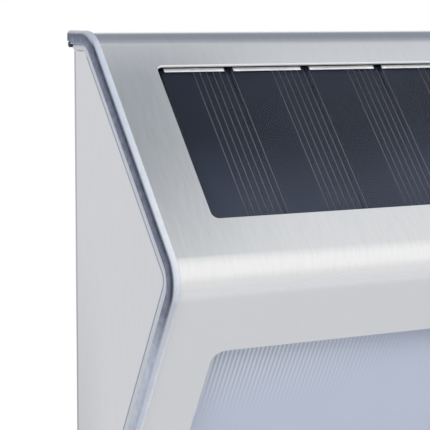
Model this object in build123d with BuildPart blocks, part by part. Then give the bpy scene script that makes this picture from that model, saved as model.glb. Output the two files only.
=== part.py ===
from build123d import *
import os

os.makedirs("parts", exist_ok=True)

# A solar fence light. X runs across it, Y into the wall and Z up, in
# millimetres. The origin is the middle of the face that lies on the wall, so
# the whole light stands at negative Y.
#
# From the side it has a ledge at the top, a slope down to the knee, a slope
# back to the foot and a ledge there. Everything behind the steel face follows
# that outline at a depth of its own, measured inward from the steel.

# ---------------------------------------------------------------------------
# Driving dimensions
# ---------------------------------------------------------------------------

# Outside form
overall_width = 100.0  # over the clear cover
overall_height = 95.2  # over the rims of the clear cover
top_ledge = 8.9  # wall to the top bend, on the steel
knee_depth = 42.1  # wall to the knee, on the steel, before rounding
knee_drop = 39.1  # top of the steel down to the knee
foot_ledge = 11.1  # wall to the foot bend, on the steel
bend_radius = 6.5  # outside of every bend in the steel
tight_bend = 0.6  # least radius of an inner outline
fit = 0.05  # gap round pieces that drop into each other
slack = 0.2  # gap round pieces that are put in by hand

# Steel face
face_sheet = 0.5
face_inset = 1.6  # side of the cover to the edge of the steel
solar_window_side = 10.9  # side of the cover to the window
solar_window_drop = 7.6  # top bend to the window, down the slope
solar_window_rise = 11.55  # knee to the window, up the slope
solar_window_round = 1.25
lens_window_side = 11.25  # side of the cover to the window
lens_window_drop = 15.9  # knee to the window, down the slope
lens_window_rise = 11.95  # foot bend to the window, up the slope
lens_window_round = 2.3

# Clear front cover
cover_wall = 1.6  # clear wall behind the steel
rim_rise = 0.4  # rim over the steel
rim_outer_round = 0.8
rim_inner_bevel = 0.25
groove_height = 0.55  # seat of the wall seal, under the top ledge
groove_depth = 1.25

# Seal between the cover and the sides
seal_thickness = 2.1  # along the slopes
seal_ledge_thickness = 1.1  # under the ledges
seal_width = 2.9
seal_inset = 0.5  # side of the cover to the side of the seal
seal_strip = 3.0  # cross strips behind the ledges
seal_round = 0.9
wall_seal_diameter = 1.12
wall_seal_inset = 0.1

# Steel side panels
side_inset = 1.0  # side of the cover to the side panel
side_sheet = 0.6
side_setback = 0.8  # wall to the rear edge of the side panel

# Moulded tub
tub_wall = 1.8
tub_ledge_width = 2.1
tub_ledge_thickness = 1.6
rail_thickness = 1.5
rail_reach = 4.9  # out from the side wall of the tub
rail_length = 30.0
boss_width = 6.4
boss_height = 5.6
boss_inset_x = 3.6
boss_inset_z = 3.3

# Solar panel, which lies in an opening of the cover
panel_side_lap = 3.0  # window edge to the edge of the panel
panel_lap = 2.1  # the same above and below the window
panel_tape = 0.25
tape_margin = 0.6  # window edge to the tape
panel_glass = 0.5
ribbon_thickness = 0.1
ribbon_width = 0.75
ribbon_drop = 0.35  # window edge to the lower edge of the ribbon
ribbon_gap = 1.9  # between two ribbons
ribbon_end_gap = 3.1  # panel end of the row to the first ribbon
cell_count = 5
cell_gap = 0.14
row_margin = 1.85  # side of the panel to the row of cells
cell_margin = 1.2  # the same above and below the cells
cell_thickness = 0.2
panel_board = 1.2

# Lens, reflector and diodes
lens_side_lap = 4.0  # window edge to the edge of the lens
lens_lap = 2.75  # the same above and below the window
lens_plate = 1.9
rib_pitch = 0.86
rib_height = 0.24
reflector_flange = 1.0
reflector_wall = 1.2
reflector_rim = 2.8  # flange outside the tray
reflector_depth = 4.3  # flange face to the inside of the floor
reflector_draft = 12.0  # degrees
diode_board_margin = 6.0  # middle of a diode to the end of the board
diode_board_height = 13.0
diode_board_thickness = 1.2
diode_spacing = 36.0
diode_radius = 2.5
diode_height = 3.4
diode_flange_radius = 2.9
diode_flange = 0.8

# Rear cover
rear_plate = 2.4
rear_corner = 1.5
rear_gasket = 1.0
rear_gasket_width = 1.7
rear_screw_radius = 1.3
rear_screw_head_radius = 2.6
rear_screw_head = 1.1
rear_screw_length = 6.4
keyhole_spacing = 60.0
keyhole_height = 25.0  # centre of the entry above the middle
keyhole_entry_radius = 4.3
keyhole_slot_radius = 2.3
keyhole_rise = 6.2  # entry centre to the end of the slot
pocket_depth = 5.0
pocket_margin = 0.9
pocket_wall = 1.3

# Battery and its bay
battery_radius = 7.1
battery_body = 49.2
battery_nub_radius = 2.75
battery_nub = 1.0
battery_recess = 3.8  # wall to the side of the cell
bay_height = 5.0  # centre of the bay above the middle
bay_wall = 1.5
bay_clearance = 0.3  # cell to the floor of the bay
bay_margin = 0.7  # cell to the upper and lower walls of the bay
contact_sheet = 0.4
contact_width = 9.0
contact_height = 11.0
tab_width = 3.0
tab_length = 2.2  # solder tab in front of the bay
leaf_rise = 2.9  # plate of the spring to the end of the cell
leaf_width = 4.0
leaf_reach = 5.0  # middle of the leaf to where it leaves its plate

# Battery door
door_side_lap = 5.0  # bay to the end of the seat of the door
door_lap = 4.7  # the same above and below the bay
door_seat_depth = 3.0
door_plate = 1.9
door_recess = 0.3  # wall to the outer face of the door
door_gasket_width = 1.2
door_rib = 1.2
door_rib_height = 1.5
door_pad_margin = 2.0
door_pad = 2.4
door_screw_inset = 2.1
door_screw_radius = 1.0
door_screw_head_radius = 1.9
door_screw_head = 0.9
door_screw_length = 6.0
door_boss_width = 4.8
door_boss_height = 4.4
finger_notch_width = 12.0
finger_notch_depth = 1.3

# Control board and slide switch
board_x = 0.0
board_z = -17.5
board_width = 60.0
board_height = 12.0
board_thickness = 1.6
board_standoff = 3.5
post_spacing = 50.0
post_width = 4.0
board_screw_radius = 0.8
board_screw_head_radius = 1.6
board_screw_head = 0.8
chip_width = 5.0
chip_height = 4.0
chip_thickness = 1.5
chip_draft = 8.0  # degrees
chip_x = -8.0
coil_width = 5.0
coil_corner = 0.9
coil_height = 2.8
coil_x = 0.0
switch_x = 18.0
switch_width = 9.0
switch_height = 4.4
switch_travel = 2.0
knob_width = 1.8
knob_base_width = 3.6
knob_base = 1.0
knob_tip_recess = 0.6  # wall to the tip of the knob
recess_width = 12.0
recess_height = 7.0
recess_depth = 1.2

# Insulated leads
lead_radius = 0.5
lead_sides = 8
lead_bend = 3.0
solar_lead_inset = 8.0  # side of the panel to the solder points
solar_lead_drop = 12.0  # middle of the solar window to the solder points
solar_pad_x = 28.5  # solder pads, from the middle of the control board
solar_pad_z = -1.0
battery_pad_x = 27.0
battery_pad_z = 3.6
diode_pad_x = 4.0
diode_pad_z = -4.0
diode_lead_rise = 3.0  # middle of the diode board to the solder points

# ---------------------------------------------------------------------------
# The side outline and its planes
# ---------------------------------------------------------------------------

steel_top = overall_height / 2 - rim_rise
cover_side = overall_width / 2
cover_rear = face_sheet + cover_wall
seal_rear = cover_rear + seal_thickness
seal_ledge_rear = cover_rear + seal_ledge_thickness

top_bend = Vector(0, -top_ledge, steel_top)
knee = Vector(0, -knee_depth, steel_top - knee_drop)
foot_bend = Vector(0, -foot_ledge, -steel_top)
up_slope = (top_bend - knee).normalized()
down_slope = (knee - foot_bend).normalized()
up_normal = Vector(0, -up_slope.Z, up_slope.Y)
down_normal = Vector(0, -down_slope.Z, down_slope.Y)

# Each wall of the outline is a point on the steel and the way it faces
top_wall = (top_bend, Vector(0, 0, 1))
upper_wall = (knee, up_normal)
lower_wall = (knee, down_normal)
foot_wall = (foot_bend, Vector(0, 0, -1))


def meet(wall_a, wall_b, depth_a, depth_b):
    """Where two walls meet when each lies at its depth inside the steel, as (y, z)."""
    (point_a, a), (point_b, b) = wall_a, wall_b
    reach_a = point_a.dot(a) - depth_a
    reach_b = point_b.dot(b) - depth_b
    turn = a.Y * b.Z - a.Z * b.Y
    return (
        (reach_a * b.Z - reach_b * a.Z) / turn,
        (a.Y * reach_b - b.Y * reach_a) / turn,
    )


def side_outline(ledge_depth, slope_depth, back=0.0):
    """The closed side outline at these depths inside the steel, from y = back to the front."""
    top_z = steel_top - ledge_depth
    radius = max(bend_radius - max(ledge_depth, slope_depth), tight_bend)
    with BuildSketch() as outline:
        with BuildLine():
            bent = FilletPolyline(
                (back, top_z),
                meet(top_wall, upper_wall, ledge_depth, slope_depth),
                meet(upper_wall, lower_wall, slope_depth, slope_depth),
                meet(lower_wall, foot_wall, slope_depth, ledge_depth),
                (back, -top_z),
                radius=radius,
            )
            Line(bent @ 1, bent @ 0)
        make_face()
    return outline.sketch


def wall_plane(depth):
    """The plane at this depth in front of the wall, facing away from it."""
    return Plane.XZ.offset(depth)


across = Vector(1, 0, 0)
upper_length = (top_bend - knee).length
lower_length = (knee - foot_bend).length
solar_window_width = overall_width - 2 * solar_window_side
solar_window_height = upper_length - solar_window_drop - solar_window_rise
lens_window_width = overall_width - 2 * lens_window_side
lens_window_height = lower_length - lens_window_drop - lens_window_rise
panel_width = solar_window_width + 2 * panel_side_lap
panel_height = solar_window_height + 2 * panel_lap
lens_width = lens_window_width + 2 * lens_side_lap
lens_height = lens_window_height + 2 * lens_lap
solar_plane = Plane(
    origin=top_bend - up_slope * (solar_window_drop + solar_window_height / 2),
    x_dir=across,
    z_dir=up_normal,
)
lens_plane = Plane(
    origin=knee - down_slope * (lens_window_drop + lens_window_height / 2),
    x_dir=across,
    z_dir=down_normal,
)

pieces = []


def finish(piece, label):
    """Name a finished piece and keep it for writing out."""
    piece.part.label = label
    pieces.append(piece.part)


# ---------------------------------------------------------------------------
# Clear front cover, steel face and seals
# ---------------------------------------------------------------------------

face_side = cover_side - face_inset
crest = Plane.YZ * side_outline(-rim_rise, -rim_rise).wire()


def on_crest(edge, side):
    """Whether an edge of the cover lies on the crest of a rim, at this distance from the middle."""
    middle = edge @ 0.5
    flat = Vector(0, middle.Y, middle.Z)
    outer = abs(abs(middle.X) - side) < 0.01 and middle.Y < -0.01
    return outer and crest.distance_to(flat) < 0.01


with BuildPart() as front_cover:
    with BuildSketch(Plane.YZ):
        add(side_outline(-rim_rise, -rim_rise))
        add(side_outline(cover_rear, cover_rear), mode=Mode.SUBTRACT)
    extrude(amount=cover_side, both=True)
    # The bed of the steel face, which leaves a rim at each side
    with BuildSketch(Plane.YZ):
        add(side_outline(-2 * rim_rise, -2 * rim_rise, back=fit))
        add(side_outline(face_sheet, face_sheet, back=fit), mode=Mode.SUBTRACT)
    extrude(amount=face_side + fit, both=True, mode=Mode.SUBTRACT)
    # The opening that the solar panel lies in
    with BuildSketch(solar_plane):
        Rectangle(panel_width + 2 * slack, panel_height + 2 * slack)
    extrude(amount=-2 * cover_rear, mode=Mode.SUBTRACT)
    # The groove for the wall seal, under the rear end of the top ledge
    with BuildSketch(Plane.YZ):
        with Locations((0, steel_top - cover_rear)):
            Rectangle(2 * groove_depth, 2 * groove_height)
    extrude(amount=cover_side, both=True, mode=Mode.SUBTRACT)
    fillet(
        front_cover.edges().filter_by(lambda e: on_crest(e, cover_side)),
        rim_outer_round,
    )
    chamfer(
        front_cover.edges().filter_by(lambda e: on_crest(e, face_side + fit)),
        rim_inner_bevel,
    )
finish(front_cover, "front_cover")

with BuildPart() as face_plate:
    with BuildSketch(Plane.YZ):
        add(side_outline(0, 0))
        add(side_outline(face_sheet, face_sheet), mode=Mode.SUBTRACT)
    extrude(amount=face_side, both=True)
    with BuildSketch(solar_plane):
        RectangleRounded(solar_window_width, solar_window_height, solar_window_round)
    extrude(amount=-2 * face_sheet, mode=Mode.SUBTRACT)
    with BuildSketch(lens_plane):
        RectangleRounded(lens_window_width, lens_window_height, lens_window_round)
    extrude(amount=-2 * face_sheet, mode=Mode.SUBTRACT)
finish(face_plate, "face_plate")

seal_side = cover_side - seal_inset
with BuildPart() as cover_seal:
    with BuildSketch(Plane.YZ):
        add(side_outline(cover_rear, cover_rear, back=-groove_depth))
        add(
            side_outline(seal_ledge_rear, seal_rear, back=-groove_depth),
            mode=Mode.SUBTRACT,
        )
    extrude(amount=seal_side, both=True)
    # Only the two side strips and the cross strips behind the ledges stay
    with BuildSketch(wall_plane(groove_depth + seal_strip)):
        Rectangle(2 * (seal_side - seal_width), overall_height)
    extrude(amount=knee_depth, mode=Mode.SUBTRACT)
    rear_edges = cover_seal.edges().filter_by(Axis.X).group_by(Axis.Y)[-1]
    inner_height = steel_top - seal_ledge_rear
    fillet(
        rear_edges.filter_by(lambda e: abs(abs((e @ 0.5).Z) - inner_height) < 0.01),
        seal_round,
    )
finish(cover_seal, "cover_seal")

wall_seal_radius = wall_seal_diameter / 2
with BuildPart() as wall_seal_cord:
    with BuildSketch(Plane.YZ):
        with Locations(
            (
                -wall_seal_radius - fit,
                steel_top - cover_rear + groove_height - wall_seal_radius,
            )
        ):
            Circle(wall_seal_radius)
    extrude(amount=cover_side - wall_seal_inset, both=True)
finish(wall_seal_cord, "wall_seal_cord")

# ---------------------------------------------------------------------------
# Side panels and tub
# ---------------------------------------------------------------------------

side_face = cover_side - side_inset
for label, start in (
    ("side_panel_left", -side_face),
    ("side_panel_right", side_face - side_sheet),
):
    with BuildPart() as side_panel:
        with BuildSketch(Plane.YZ.offset(start)):
            add(
                side_outline(seal_ledge_rear + fit, seal_rear + fit, back=-side_setback)
            )
        extrude(amount=side_sheet)
    finish(side_panel, label)

tub_side = side_face - side_sheet - fit
tub_inner = tub_side - tub_wall
tub_top = steel_top - seal_ledge_rear - fit - tub_wall
tub_ledge_start = rear_plate + rear_gasket + fit
boss_x = tub_inner - boss_inset_x
boss_z = tub_top - boss_inset_z
panel_rear = (
    face_sheet
    + panel_tape
    + panel_glass
    + ribbon_thickness
    + cell_thickness
    + panel_board
)
lens_rear = cover_rear + fit + lens_plate + rib_height
flange_rear = lens_rear + reflector_flange
boss_places = [(x, z) for x in (-boss_x, boss_x) for z in (-boss_z, boss_z)]

with BuildPart() as housing_tub:
    with BuildSketch(Plane.YZ):
        add(side_outline(seal_ledge_rear + fit, seal_rear + fit, back=-side_setback))
    extrude(amount=tub_side, both=True)
    # Open at the front and at the back
    with BuildSketch(wall_plane(0)):
        Rectangle(2 * tub_inner, 2 * tub_top)
    extrude(amount=2 * knee_depth, mode=Mode.SUBTRACT)
    # The ledge that the rear gasket lies on
    with BuildSketch(wall_plane(tub_ledge_start)):
        Rectangle(2 * tub_inner + tub_wall, 2 * tub_top + tub_wall)
        Rectangle(
            2 * (tub_inner - tub_ledge_width),
            2 * (tub_top - tub_ledge_width),
            mode=Mode.SUBTRACT,
        )
    extrude(amount=tub_ledge_thickness)
    with BuildSketch(wall_plane(tub_ledge_start)):
        with Locations(*boss_places):
            Rectangle(boss_width, boss_width)
    extrude(amount=boss_height)
    # Rails behind the solar panel and behind the flange of the reflector,
    # which grow from the side walls below the seal
    rail_x = tub_inner - rail_reach / 2
    for plane, depth in (
        (solar_plane, panel_rear + fit),
        (lens_plane, flange_rear + fit),
    ):
        with BuildSketch(plane.offset(-depth)):
            with Locations((-rail_x, 0), (rail_x, 0)):
                Rectangle(rail_reach, rail_length)
        extrude(amount=-(max(seal_rear + fit - depth, 0) + rail_thickness))
    with BuildSketch(wall_plane(0)):
        with Locations(*boss_places):
            Circle(rear_screw_radius + fit)
    extrude(amount=tub_ledge_start + boss_height - tub_ledge_thickness / 2, mode=Mode.SUBTRACT)
finish(housing_tub, "housing_tub")

# ---------------------------------------------------------------------------
# Solar panel, from its face to its back
# ---------------------------------------------------------------------------

with BuildPart() as panel_tape_frame:
    with BuildSketch(solar_plane.offset(-face_sheet)):
        Rectangle(panel_width, panel_height)
        Rectangle(
            solar_window_width + 2 * tape_margin,
            solar_window_height + 2 * tape_margin,
            mode=Mode.SUBTRACT,
        )
    extrude(amount=-panel_tape)
finish(panel_tape_frame, "panel_tape")

glass_depth = face_sheet + panel_tape
with BuildPart() as panel_front:
    with BuildSketch(solar_plane.offset(-glass_depth)):
        Rectangle(panel_width, panel_height)
    extrude(amount=-panel_glass)
finish(panel_front, "panel_glass")

ribbon_depth = glass_depth + panel_glass
ribbon_z = solar_window_height / 2 - ribbon_drop + ribbon_width / 2
row_width = panel_width - 2 * row_margin
cell_pitch = row_width / cell_count
with BuildPart() as bus_ribbons:
    with BuildSketch(solar_plane.offset(-ribbon_depth)):
        with Locations((0, ribbon_z)):
            Rectangle(row_width - 2 * ribbon_end_gap, ribbon_width)
        breaks = [(cell_pitch * (i - cell_count / 2), ribbon_z) for i in range(1, cell_count)]
        with Locations(*breaks):
            Rectangle(ribbon_gap, 2 * ribbon_width, mode=Mode.SUBTRACT)
    extrude(amount=-ribbon_thickness)
finish(bus_ribbons, "bus_ribbons")

cell_depth = ribbon_depth + ribbon_thickness
with BuildPart() as solar_cells:
    with BuildSketch(solar_plane.offset(-cell_depth)):
        with GridLocations(cell_pitch, 0, cell_count, 1):
            Rectangle(cell_pitch - cell_gap, panel_height - 2 * cell_margin)
    extrude(amount=-cell_thickness)
finish(solar_cells, "solar_cells")

board_depth = cell_depth + cell_thickness
with BuildPart() as panel_back:
    with BuildSketch(solar_plane.offset(-board_depth)):
        Rectangle(panel_width, panel_height)
    extrude(amount=-panel_board)
finish(panel_back, "panel_board")

# ---------------------------------------------------------------------------
# Lens, reflector and diodes
# ---------------------------------------------------------------------------

# The lens is drawn as a slice across its ribs and run down the slope. Its
# flat face lies on the clear cover and its ribs face the diodes.
rib_count = round(lens_width / rib_pitch)
rib_width = lens_width / rib_count
lens_slice = Plane(
    origin=lens_plane.origin
    - down_normal * (cover_rear + fit)
    - down_slope * (lens_height / 2),
    x_dir=across,
    z_dir=down_slope,
)
with BuildPart() as diffuser_lens:
    with BuildSketch(lens_slice):
        with BuildLine():
            left = -lens_width / 2
            Polyline((left, lens_plate), (left, 0), (-left, 0), (-left, lens_plate))
            for i in range(rib_count):
                start = left + i * rib_width
                Polyline(
                    (start, lens_plate),
                    (start + rib_width / 2, lens_plate + rib_height),
                    (start + rib_width, lens_plate),
                )
        make_face()
    extrude(amount=lens_height)
finish(diffuser_lens, "diffuser_lens")

tray_width = lens_width - 2 * reflector_rim
tray_height = lens_height - 2 * reflector_rim
floor_depth = lens_rear + reflector_depth
diode_board_depth = floor_depth + reflector_wall
with BuildPart() as reflector:
    with BuildSketch(lens_plane.offset(-lens_rear)):
        Rectangle(lens_width, lens_height)
    extrude(amount=-reflector_flange)
    with BuildSketch(lens_plane.offset(-lens_rear)):
        Rectangle(tray_width, tray_height)
    extrude(amount=-(reflector_depth + reflector_wall), taper=reflector_draft)
    with BuildSketch(lens_plane.offset(-lens_rear)):
        Rectangle(tray_width - 2 * reflector_wall, tray_height - 2 * reflector_wall)
    extrude(amount=-reflector_depth, taper=reflector_draft, mode=Mode.SUBTRACT)
    with BuildSketch(lens_plane.offset(-floor_depth)):
        with GridLocations(diode_spacing, 0, 2, 1):
            Circle(diode_radius + slack)
    extrude(amount=-2 * reflector_wall, mode=Mode.SUBTRACT)
finish(reflector, "reflector")

with BuildPart() as diode_board:
    with BuildSketch(lens_plane.offset(-diode_board_depth - diode_flange)):
        Rectangle(diode_spacing + 2 * diode_board_margin, diode_board_height)
    extrude(amount=-diode_board_thickness)
finish(diode_board, "led_board")

for label, x in (("led_left", -diode_spacing / 2), ("led_right", diode_spacing / 2)):
    with BuildPart() as diode:
        with BuildSketch(lens_plane.offset(-diode_board_depth - diode_flange)):
            with Locations((x, 0)):
                Circle(diode_flange_radius)
        extrude(amount=diode_flange - fit)
        with BuildSketch(lens_plane.offset(-diode_board_depth - diode_flange)):
            with Locations((x, 0)):
                Circle(diode_radius)
        extrude(amount=diode_flange + diode_height)
    finish(diode, label)

# ---------------------------------------------------------------------------
# Rear cover, its gasket and its screws
# ---------------------------------------------------------------------------

bay_width = battery_body + battery_nub + leaf_rise + 2 * (contact_sheet + fit)
bay_opening = 2 * (battery_radius + bay_margin)
bay_depth = battery_recess + 2 * battery_radius + bay_clearance
door_width = bay_width + 2 * door_side_lap
door_height = bay_opening + 2 * door_lap
rear_width = 2 * (tub_inner - slack)
rear_height = 2 * (tub_top - slack)
bay_floor = bay_depth + bay_wall
pad_front = door_seat_depth + door_pad - bay_clearance
door_screw_x = door_width / 2 - door_screw_inset
post_places = [(board_x - post_spacing / 2, board_z), (board_x + post_spacing / 2, board_z)]
tab_x = (bay_width - contact_sheet) / 2 - fit
pocket_half = keyhole_entry_radius + pocket_margin
pocket_height = keyhole_rise + keyhole_entry_radius + keyhole_slot_radius + 2 * pocket_margin
pocket_z = keyhole_height + (keyhole_rise + keyhole_slot_radius - keyhole_entry_radius) / 2
keyhole_places = [(-keyhole_spacing / 2, keyhole_height), (keyhole_spacing / 2, keyhole_height)]
slot_places = [(x, z + keyhole_rise / 2) for x, z in keyhole_places]
slot_ends = [(x, z + keyhole_rise) for x, z in keyhole_places]
pocket_places = [(x, pocket_z) for x, _ in keyhole_places]
seat_places = [(-door_screw_x, bay_height), (door_screw_x, bay_height)]

with BuildPart() as rear_cover:
    with BuildSketch(wall_plane(0)):
        RectangleRounded(rear_width, rear_height, rear_corner)
    extrude(amount=rear_plate)
    # Pad under the door, bay walls, keyhole pockets, posts and bosses
    with BuildSketch(wall_plane(0)):
        with Locations((0, bay_height)):
            Rectangle(door_width + 2 * door_pad_margin, door_height + 2 * door_pad_margin)
    extrude(amount=pad_front)
    with BuildSketch(wall_plane(0)):
        with Locations((0, bay_height)):
            Rectangle(bay_width + 2 * bay_wall, bay_opening + 2 * bay_wall)
    extrude(amount=bay_floor)
    with BuildSketch(wall_plane(0)):
        with Locations(*pocket_places):
            Rectangle(2 * (pocket_half + pocket_wall), pocket_height + 2 * pocket_wall)
    extrude(amount=rear_plate + pocket_depth + pocket_wall)
    with BuildSketch(wall_plane(0)):
        with Locations(*post_places):
            Rectangle(post_width, post_width)
    extrude(amount=rear_plate + board_standoff)
    with BuildSketch(wall_plane(0)):
        with Locations(*seat_places):
            Rectangle(door_boss_width, door_boss_width)
    extrude(amount=pad_front + door_boss_height)
    # Seat of the door and the bay inside it
    with BuildSketch(wall_plane(0)):
        with Locations((0, bay_height)):
            RectangleRounded(door_width, door_height, rear_corner)
    extrude(amount=door_seat_depth, mode=Mode.SUBTRACT)
    with BuildSketch(wall_plane(0)):
        with Locations((0, bay_height)):
            Rectangle(bay_width, bay_opening)
    extrude(amount=bay_depth, mode=Mode.SUBTRACT)
    # Slots in the bay floor for the solder tabs of the contacts
    with BuildSketch(wall_plane(bay_depth)):
        with Locations((-tab_x, bay_height), (tab_x, bay_height)):
            Rectangle(contact_sheet + 2 * fit, tab_width + 2 * slack)
    extrude(amount=bay_wall, mode=Mode.SUBTRACT)
    # Keyholes: the pocket behind, the round entry and the slot above it
    with BuildSketch(wall_plane(rear_plate)):
        with Locations(*pocket_places):
            Rectangle(2 * pocket_half, pocket_height)
    extrude(amount=pocket_depth, mode=Mode.SUBTRACT)
    with BuildSketch(wall_plane(0)):
        with Locations(*keyhole_places):
            Circle(keyhole_entry_radius)
        with Locations(*slot_places):
            Rectangle(2 * keyhole_slot_radius, keyhole_rise)
        with Locations(*slot_ends):
            Circle(keyhole_slot_radius)
    extrude(amount=rear_plate, mode=Mode.SUBTRACT)
    # Recess and slot of the switch
    with BuildSketch(wall_plane(0)):
        with Locations((switch_x, board_z)):
            SlotOverall(recess_width, recess_height)
    extrude(amount=recess_depth, mode=Mode.SUBTRACT)
    with BuildSketch(wall_plane(0)):
        with Locations((switch_x, board_z)):
            Rectangle(knob_width + switch_travel + 2 * slack, knob_width + 2 * slack)
    extrude(amount=rear_plate, mode=Mode.SUBTRACT)
    # Screw holes
    with BuildSketch(wall_plane(0)):
        with Locations(*boss_places):
            Circle(rear_screw_radius + slack)
    extrude(amount=rear_plate, mode=Mode.SUBTRACT)
    with BuildSketch(wall_plane(0)):
        with Locations(*boss_places):
            Circle(rear_screw_head_radius + slack)
    extrude(amount=rear_screw_head + slack, mode=Mode.SUBTRACT)
    with BuildSketch(wall_plane(0)):
        with Locations(*seat_places):
            Circle(door_screw_radius + fit)
    extrude(amount=pad_front + door_boss_height - bay_wall, mode=Mode.SUBTRACT)
    with BuildSketch(wall_plane(rear_plate)):
        with Locations(*post_places):
            Circle(board_screw_radius + fit)
    extrude(amount=board_standoff, mode=Mode.SUBTRACT)
finish(rear_cover, "rear_cover")

with BuildPart() as rear_gasket_ring:
    with BuildSketch(wall_plane(rear_plate)):
        RectangleRounded(rear_width, rear_height, rear_corner)
        Rectangle(
            rear_width - 2 * rear_gasket_width,
            rear_height - 2 * rear_gasket_width,
            mode=Mode.SUBTRACT,
        )
    extrude(amount=rear_gasket)
finish(rear_gasket_ring, "rear_gasket")


def screws(label, places, head_start, head_radius, head, shank_radius, length):
    """Screws put in from the wall side, with their heads at head_start in front of the wall."""
    with BuildPart() as group:
        with BuildSketch(wall_plane(head_start)):
            with Locations(*places):
                Circle(head_radius)
        extrude(amount=head)
        with BuildSketch(wall_plane(head_start)):
            with Locations(*places):
                Circle(shank_radius)
        extrude(amount=head + length)
        # A cross recess in each head
        with BuildSketch(wall_plane(head_start)):
            with Locations(*places):
                Rectangle(head_radius, head_radius / 4)
                Rectangle(head_radius / 4, head_radius)
        extrude(amount=head / 2, mode=Mode.SUBTRACT)
    finish(group, label)


screws(
    "rear_screws",
    boss_places,
    slack,
    rear_screw_head_radius,
    rear_screw_head,
    rear_screw_radius,
    rear_screw_length,
)

# ---------------------------------------------------------------------------
# Battery, contacts and door
# ---------------------------------------------------------------------------

battery_depth = battery_recess + battery_radius
plate_face = bay_width / 2 - fit - contact_sheet
body_end = plate_face - battery_nub
body_start = body_end - battery_body
with BuildPart() as battery_cell:
    with BuildSketch(Plane.YZ.offset(body_start)):
        with Locations((-battery_depth, bay_height)):
            Circle(battery_radius)
    extrude(amount=battery_body)
    with BuildSketch(Plane.YZ.offset(body_start)):
        with Locations((-battery_depth, bay_height)):
            Circle(battery_nub_radius)
    extrude(amount=battery_body + battery_nub)
finish(battery_cell, "battery_cell")

tab_end = bay_floor + tab_length
tab_middle = (battery_depth + tab_end) / 2
with BuildPart() as contact_plate:
    with BuildSketch(Plane.YZ.offset(plate_face)):
        with Locations((-battery_depth, bay_height)):
            Rectangle(contact_height, contact_width)
        with Locations((-tab_middle, bay_height)):
            Rectangle(tab_end - battery_depth, tab_width)
    extrude(amount=contact_sheet)
finish(contact_plate, "contact_plate")

# The spring is one strip: its leaf leaves the top of the plate, bows out to
# the end of the cell and comes back to the plate
spring_back = fit - bay_width / 2
leaf_x = spring_back + contact_sheet
leaf_y = -battery_depth
with BuildPart() as contact_spring:
    with BuildSketch(Plane.YZ.offset(spring_back)):
        with Locations((-battery_depth, bay_height)):
            Rectangle(contact_height, contact_width)
        with Locations((-tab_middle, bay_height)):
            Rectangle(tab_end - battery_depth, tab_width)
    extrude(amount=contact_sheet)
    with BuildSketch(Plane.XY.offset(bay_height - leaf_width / 2)):
        with BuildLine():
            ThreePointArc(
                (leaf_x, leaf_y - leaf_reach),
                (body_start, leaf_y),
                (leaf_x, leaf_y + leaf_reach),
            )
            Line((leaf_x, leaf_y + leaf_reach), (leaf_x, leaf_y + leaf_reach - contact_sheet))
            ThreePointArc(
                (leaf_x, leaf_y + leaf_reach - contact_sheet),
                (body_start - contact_sheet, leaf_y),
                (leaf_x, leaf_y - leaf_reach + contact_sheet),
            )
            Line((leaf_x, leaf_y - leaf_reach + contact_sheet), (leaf_x, leaf_y - leaf_reach))
        make_face()
    extrude(amount=leaf_width)
finish(contact_spring, "contact_spring")

door_top = door_recess + door_plate
with BuildPart() as battery_door:
    with BuildSketch(wall_plane(door_recess)):
        with Locations((0, bay_height)):
            RectangleRounded(door_width - 2 * slack, door_height - 2 * slack, rear_corner)
    extrude(amount=door_plate)
    with BuildSketch(wall_plane(door_recess)):
        with Locations((0, bay_height)):
            Rectangle(bay_width - 4 * slack, bay_opening - 4 * slack)
            Rectangle(
                bay_width - 4 * slack - 2 * door_rib,
                bay_opening - 4 * slack - 2 * door_rib,
                mode=Mode.SUBTRACT,
            )
    extrude(amount=door_plate + door_rib_height)
    with BuildSketch(wall_plane(door_recess)):
        with Locations(*seat_places):
            Circle(door_screw_radius + slack)
    extrude(amount=door_plate, mode=Mode.SUBTRACT)
    with BuildSketch(wall_plane(door_recess)):
        with Locations(*seat_places):
            Circle(door_screw_head_radius + fit)
    extrude(amount=door_screw_head, mode=Mode.SUBTRACT)
    # A notch for a finger nail in the lower edge
    with BuildSketch(wall_plane(door_recess)):
        with Locations((0, bay_height - door_height / 2)):
            SlotOverall(finger_notch_width, 2 * finger_notch_depth)
    extrude(amount=door_plate / 2, mode=Mode.SUBTRACT)
finish(battery_door, "battery_door")

with BuildPart() as door_gasket_ring:
    with BuildSketch(wall_plane(door_top)):
        with Locations((0, bay_height)):
            Rectangle(
                bay_width + 2 * slack + 2 * door_gasket_width,
                bay_opening + 2 * slack + 2 * door_gasket_width,
            )
            Rectangle(bay_width + 2 * slack, bay_opening + 2 * slack, mode=Mode.SUBTRACT)
    extrude(amount=door_seat_depth - door_top)
finish(door_gasket_ring, "door_gasket")

screws(
    "door_screws",
    seat_places,
    door_recess,
    door_screw_head_radius,
    door_screw_head,
    door_screw_radius,
    door_screw_length,
)

# ---------------------------------------------------------------------------
# Control board and slide switch
# ---------------------------------------------------------------------------

board_back = rear_plate + board_standoff
board_front = board_back + board_thickness
with BuildPart() as control_board:
    with BuildSketch(wall_plane(board_back)):
        with Locations((board_x, board_z)):
            Rectangle(board_width, board_height)
        with Locations(*post_places):
            Circle(board_screw_radius + slack, mode=Mode.SUBTRACT)
    extrude(amount=board_thickness)
finish(control_board, "control_board")

with BuildPart() as board_screws:
    with BuildSketch(wall_plane(board_front)):
        with Locations(*post_places):
            Circle(board_screw_head_radius)
    extrude(amount=board_screw_head)
    with BuildSketch(wall_plane(board_front)):
        with Locations(*post_places):
            Circle(board_screw_radius)
    extrude(amount=-(board_thickness + board_standoff - fit))
finish(board_screws, "board_screws")

with BuildPart() as controller_chip:
    with BuildSketch(wall_plane(board_front)):
        with Locations((board_x + chip_x, board_z)):
            Rectangle(chip_width, chip_height)
    extrude(amount=chip_thickness, taper=chip_draft)
finish(controller_chip, "controller_chip")

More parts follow.
